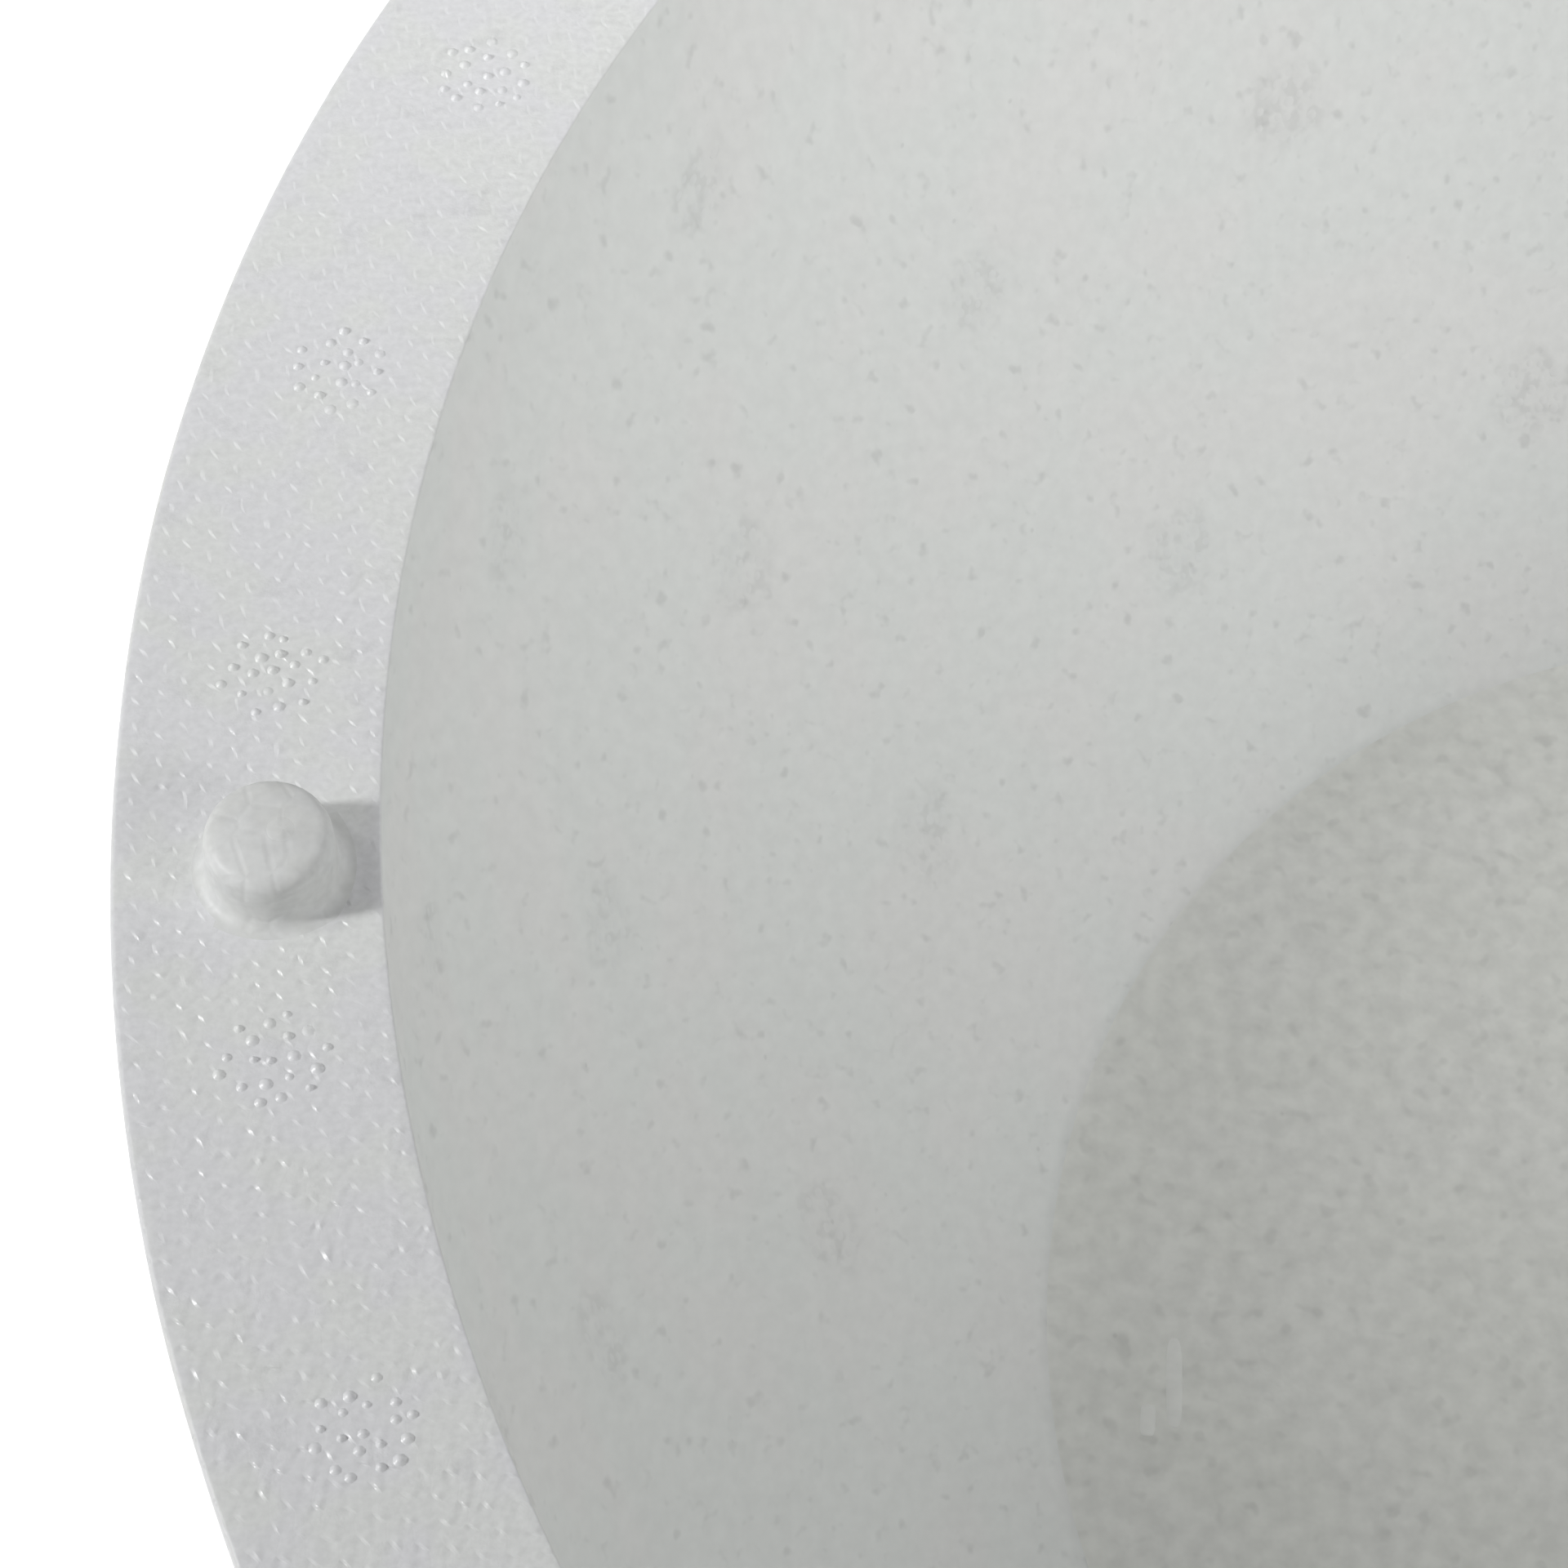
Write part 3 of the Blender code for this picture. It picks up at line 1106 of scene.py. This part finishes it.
@dataclass(frozen=True)
class HollowFinish(FoamFinish):
    """The hollow's wall or floor: smooth, with soft pits, low lumps and a few fine dark specks.

    On the wall the pits and the mottling are drawn out along a slanting grain, and round each vent lies a
    faint dark disc with ragged dark dots: painted shade of the vent's nubs.
    """

    name: str = "wall_foam"
    colour: tuple[float, float, float] = (0.816, 0.832, 0.817)
    other_colour: tuple[float, float, float] = (0.826, 0.829, 0.817)
    roughness: float = 0.6
    gloss: float = 0.3
    grain: tuple[float, float, float] = (-0.035, 0.477, -0.878)
    shrink: float = 0.7
    mottle_size: float = 0.0018
    pit_size: float = 0.0021
    pit_fade: float = 0.2
    pit_shade: float = 0.13
    pit_depth: float = 0.00003
    lump_size: float = 0.004
    lump_height: float = 0.00004
    rim_height: float = 0.2
    hollow_radius: float = 0.1757
    # The disc and its ragged dark dots round each wall vent are painted shade of the vent's nubs
    disc_radius: float = 0.0060
    disc_fade: tuple[float, float] = (0.6, 1.3)
    painted_disc_shade: float = 0.022
    painted_nub_shade_size: float = 0.0019
    painted_nub_shade_span: tuple[float, float] = (0.48, 0.66)
    painted_nub_shade_strength: float = 0.08
    speck_pitch: float = 0.0035
    speck_share: float = 0.06
    speck_radius: float = 0.0003
    speck_fade: tuple[float, float] = (0.5, 1.5)
    speck_shade: float = 0.1
    disc_rows: tuple[tuple[float, int, float], ...] = ()

    def stretched(self, graph: Graph, place: bpy.types.NodeSocket) -> bpy.types.NodeSocket:
        """The place less a share of its part along the grain, which draws round things out on the wall.

        Args:
            graph: The material's graph.
            place: Place on the surface, in metres.

        Returns:
            The socket of the drawn-together place.
        """
        part = graph.node("ShaderNodeVectorMath", {"operation": "DOT_PRODUCT"}, {0: place, 1: self.grain})
        share = graph.term(part, "Value") * self.shrink
        along = graph.node("ShaderNodeVectorMath", {"operation": "SCALE"}, {0: self.grain, 3: share})
        sockets = {0: place, 1: along.outputs[0]}
        return graph.node("ShaderNodeVectorMath", {"operation": "SUBTRACT"}, sockets).outputs[0]

    def discs(self, graph: Graph, place: bpy.types.NodeSocket) -> Term:
        """Soft discs round the vents of the wall's rows, where painted shade of the vents' nubs darkens the
        wall.

        The turn is counted in vents, and what is left over the nearest whole one, times the spacing, is the
        distance along the row. The height over the row, over the latitude's cosine, is the one across it.

        Args:
            graph: The material's graph.
            place: Place on the surface, in metres.

        Returns:
            1 near a vent and 0 away from all.
        """
        x, y, z = graph.parts(place)
        turn = graph.maths("ARCTAN2", y, x) / (2.0 * math.pi)
        near, far = [self.disc_radius * share for share in self.disc_fade]
        mask = None
        for latitude, count, start in self.disc_rows:
            cosine, sine = math.cos(math.radians(latitude)), math.sin(math.radians(latitude))
            spacing = 2.0 * math.pi * self.hollow_radius * cosine / count
            left = (turn * count + (count + 0.5 - start * count / 360.0)).fraction() - 0.5
            along = left * spacing
            across = (z - (self.rim_height - self.hollow_radius * sine)) / cosine
            away = graph.maths("SQRT", along * along + across * across)
            disc = 1.0 - away.eased(near, far)
            mask = disc if mask is None else mask.most(disc)
        return mask

    def relief(self, graph: Graph, place: bpy.types.NodeSocket) -> Term:
        """Height of the lumps less the depth of the pits."""
        lumps = graph.noise(place, self.lump_size) * self.lump_height
        return lumps - self.pits(graph, self.stretched(graph, place)) * self.pit_depth

    def specks(self, graph: Graph, place: bpy.types.NodeSocket) -> Term:
        """Fine dark specks: the middles of a few cells of a scattered pattern.

        Args:
            graph: The material's graph.
            place: Place on the surface, in metres.

        Returns:
            1 on a speck and 0 elsewhere.
        """
        sockets = {"Vector": place, "Scale": 1.0 / self.speck_pitch}
        cells = graph.node("ShaderNodeTexVoronoi", {"feature": "F1"}, sockets)
        chance = graph.parts(cells.outputs["Color"])[0]
        near, far = [self.speck_radius / self.speck_pitch * share for share in self.speck_fade]
        dots = 1.0 - graph.term(cells, "Distance").eased(near, far)
        return dots * chance.ramp(1.0 - self.speck_share, 1.0 - self.speck_share / 2.0)

    def shade(self, graph: Graph, place: bpy.types.NodeSocket) -> Term:
        """The plain foam's shade on the stretched place, less on the specks and in the discs of painted vent
        shade.
        """
        drawn = self.stretched(graph, place)
        plain = super().shade(graph, drawn) - self.specks(graph, place) * self.speck_shade
        if not self.disc_rows:
            return plain
        # Painted shade of the vents' nubs: a faint dark disc with ragged dark dots round each vent
        painted_nub_shade = graph.noise(drawn, self.painted_nub_shade_size).eased(*self.painted_nub_shade_span)
        return plain - self.discs(graph, place) * (painted_nub_shade * self.painted_nub_shade_strength + self.painted_disc_shade)


def foam_finishes(sizes: BallSizes) -> dict[Zone, bpy.types.Material]:
    """Makes the finish of each zone.

    Args:
        sizes: Sizes of the half ball, for the vents' discs on the wall.

    Returns:
        A material for each zone. The floor's is the wall's made coarser and warmer, the warmth being painted
        shade; the vents' is a little darker than the wall's, as painted shade of their nubs; and the mould
        marks' is a little lighter than the floor's, as a painted highlight of the light on the bars' slopes.
    """
    wall = HollowFinish(rim_height=sizes.rim_height, hollow_radius=sizes.hollow_radius, disc_rows=HOLLOW_ROWS)
    floor = HollowFinish(
        name="floor_foam",
        # The floor's warm colour is painted shade: the warm colour of the light in the hollow's shade
        colour=(0.849, 0.856, 0.817),
        other_colour=(0.853, 0.858, 0.825),
        shrink=0.0,
        pit_size=0.0022,
        pit_detail=0.5,
        pit_shade=0.09,
        pit_depth=0.00006,
        mottle_size=0.0026,
        mottle_shade=0.11,
        lump_size=0.003,
        lump_height=0.00022,
        speck_share=0.02,
    )
    # The vents' nubs on the wall are darker than the wall: painted shade of the nubs
    vent = HollowFinish(name="vent_foam", colour=(0.785, 0.80, 0.79), other_colour=(0.795, 0.797, 0.787))
    # The marks' lighter colour is a painted highlight: the light that falls on the bars' slopes
    mark = HollowFinish(
        name="mark_foam",
        colour=(0.878, 0.884, 0.856),
        other_colour=(0.882, 0.884, 0.86),
        shrink=0.0,
        pit_shade=0.0,
    )
    peg = BeadFinish(
        name="peg_foam",
        colour=(0.786, 0.797, 0.79),
        roughness=0.45,
        other_colour=(0.78, 0.79, 0.775),
        patch_size=0.004,
        mottle_shade=0.1,
        bead_pitch=0.0034,
        groove_depth=0.00004,
        groove_width=0.13,
    )
    return {
        Zone.FLOOR: floor.material(),
        Zone.WALL: wall.material(),
        Zone.RIM: RimFinish().material(),
        Zone.PEG: peg.material(),
        Zone.DOME: BeadFinish().material(),
        Zone.VENT: vent.material(),
        Zone.MARK: mark.material(),
    }


# Studio


@dataclass(frozen=True)
class Lamp:
    """A soft lamp that faces a point.

    Attributes:
        name: Name of the lamp.
        azimuth: Direction of the lamp from the point, in degrees from +X.
        elevation: Height of the lamp over the horizon, in degrees.
        distance: Distance from the point, in metres.
        power: Power in watts.
        aim: The point, in metres.
    """

    name: str
    azimuth: float
    elevation: float
    distance: float
    power: float
    aim: tuple[float, float, float]

    def light(self) -> bpy.types.Light:
        """The lamp's light, without its power."""
        raise NotImplementedError

    def build(self) -> bpy.types.Object:
        """Hangs the lamp: the point plus the distance along its direction, turned to face the point."""
        azimuth, elevation = math.radians(self.azimuth), math.radians(self.elevation)
        out = np.array([
            math.cos(elevation) * math.cos(azimuth),
            math.cos(elevation) * math.sin(azimuth),
            math.sin(elevation),
        ])
        data = self.light()
        data.energy = self.power
        lamp = bpy.data.objects.new(self.name, data)
        lamp.location = np.array(self.aim) + out * self.distance
        lamp.rotation_euler = (math.pi / 2 - elevation, 0.0, azimuth + math.pi / 2)
        bpy.context.scene.collection.objects.link(lamp)
        return lamp


@dataclass(frozen=True)
class Softbox(Lamp):
    """A square area lamp, with the side of its sheet in metres."""

    size: float

    def light(self) -> bpy.types.Light:
        """A square area light."""
        data = bpy.data.lights.new(self.name, "AREA")
        data.size = self.size
        return data


@dataclass(frozen=True)
class SoftSpot(Lamp):
    """A spot lamp whose cone fades from its middle to its edge, in degrees, with a wide soft bulb."""

    cone: float = 38.0
    bulb_radius: float = 0.15

    def light(self) -> bpy.types.Light:
        """A spot light that fades all the way to the edge of its cone."""
        data = bpy.data.lights.new(self.name, "SPOT")
        data.spot_size = math.radians(self.cone)
        data.spot_blend = 1.0
        data.shadow_soft_size = self.bulb_radius
        return data


@dataclass(frozen=True)
class Studio:
    """A pale floor, soft lamps, a plain world and the camera."""

    floor_half_width: float = 20.0
    floor_colour: tuple[float, float, float] = (0.85, 0.85, 0.85)
    floor_glow: float = 0.7
    world_strength: float = 0.27
    camera_place: tuple[float, float, float] = (-0.16176, -0.17708, 0.51598)
    camera_turn: tuple[float, float, float] = (30.189, -1.660, -4.160)
    camera_lens: float = 92.718
    camera_clip: tuple[float, float] = (0.01, 50.0)
    lamps: tuple[Lamp, ...] = (
        Softbox("key_lamp", 183.0, 29.0, 1.3, 7.1, RIM_MIDDLE, 0.12),
        Softbox("near_lamp", 45.0, 20.0, 0.6, 0.45, RIM_MIDDLE, 0.3),
        Softbox("low_lamp", 315.0, 20.0, 1.6, 2.4, RIM_MIDDLE, 0.8),
        SoftSpot("left_spot", 180.0, 50.0, 1.2, 21.0, SPOT_AIM),
        SoftSpot("back_spot", 315.0, 25.0, 1.2, 25.0, SPOT_AIM),
    )

    def floor(self) -> bpy.types.Object:
        """A square pale sheet that glows only where it is seen, straight or in a reflection."""
        half = self.floor_half_width
        material = bpy.data.materials.new("pale_floor")
        material.use_nodes = True
        graph = Graph(material.node_tree)
        material.node_tree.nodes.clear()
        diffuse = graph.node("ShaderNodeBsdfDiffuse", sockets={"Color": (*self.floor_colour, 1.0)})
        glow = graph.node("ShaderNodeEmission", sockets={"Strength": graph.seen() * self.floor_glow})
        both = graph.node("ShaderNodeAddShader", sockets={0: diffuse.outputs[0], 1: glow.outputs[0]})
        graph.node("ShaderNodeOutputMaterial", sockets={"Surface": both.outputs[0]})
        corners = np.array([[-half, -half, 0.0], [half, -half, 0.0], [half, half, 0.0], [-half, half, 0.0]])
        sheet = mesh_object("floor_sheet", corners, [[0, 1, 2, 3]], material)
        return sheet

    def world(self) -> None:
        """Even light from all round, and white where it is seen."""
        world = bpy.data.worlds.new("studio_world")
        world.use_nodes = True
        bpy.context.scene.world = world
        graph = Graph(world.node_tree)
        world.node_tree.nodes.clear()
        share = graph.seen()
        strength = share + (1.0 - share) * self.world_strength
        sockets = {"Color": (1.0, 1.0, 1.0, 1.0), "Strength": strength}
        background = graph.node("ShaderNodeBackground", sockets=sockets)
        graph.node("ShaderNodeOutputWorld", sockets={"Surface": background.outputs[0]})

    def camera(self) -> bpy.types.Object:
        """The camera at the photograph's viewing angle."""
        data = bpy.data.cameras.new("camera")
        data.lens = self.camera_lens
        data.clip_start, data.clip_end = self.camera_clip
        obj = bpy.data.objects.new("camera", data)
        obj.location = self.camera_place
        obj.rotation_euler = [math.radians(angle) for angle in self.camera_turn]
        bpy.context.scene.collection.objects.link(obj)
        bpy.context.scene.camera = obj
        return obj

    def build(self) -> None:
        """Sets the floor, the world, the lamps and the camera."""
        bpy.context.scene.view_settings.view_transform = "Standard"
        self.floor()
        self.world()
        for lamp in self.lamps:
            lamp.build()
        self.camera()
        log.info("studio: %d lamps", len(self.lamps))


def main() -> None:
    """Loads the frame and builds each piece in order."""
    logging.basicConfig(level=logging.INFO, format="%(name)s: %(message)s")
    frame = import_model()
    sizes = BallSizes.from_frame(frame)
    finishes = foam_finishes(sizes)
    FoamSkin(sizes, DowelSizes()).build(finishes)
    for group in vent_groups(sizes):
        group.build(finishes)
    FloorMarks(sizes).build(finishes)
    Studio().build()


if __name__ == "__main__":
    main()
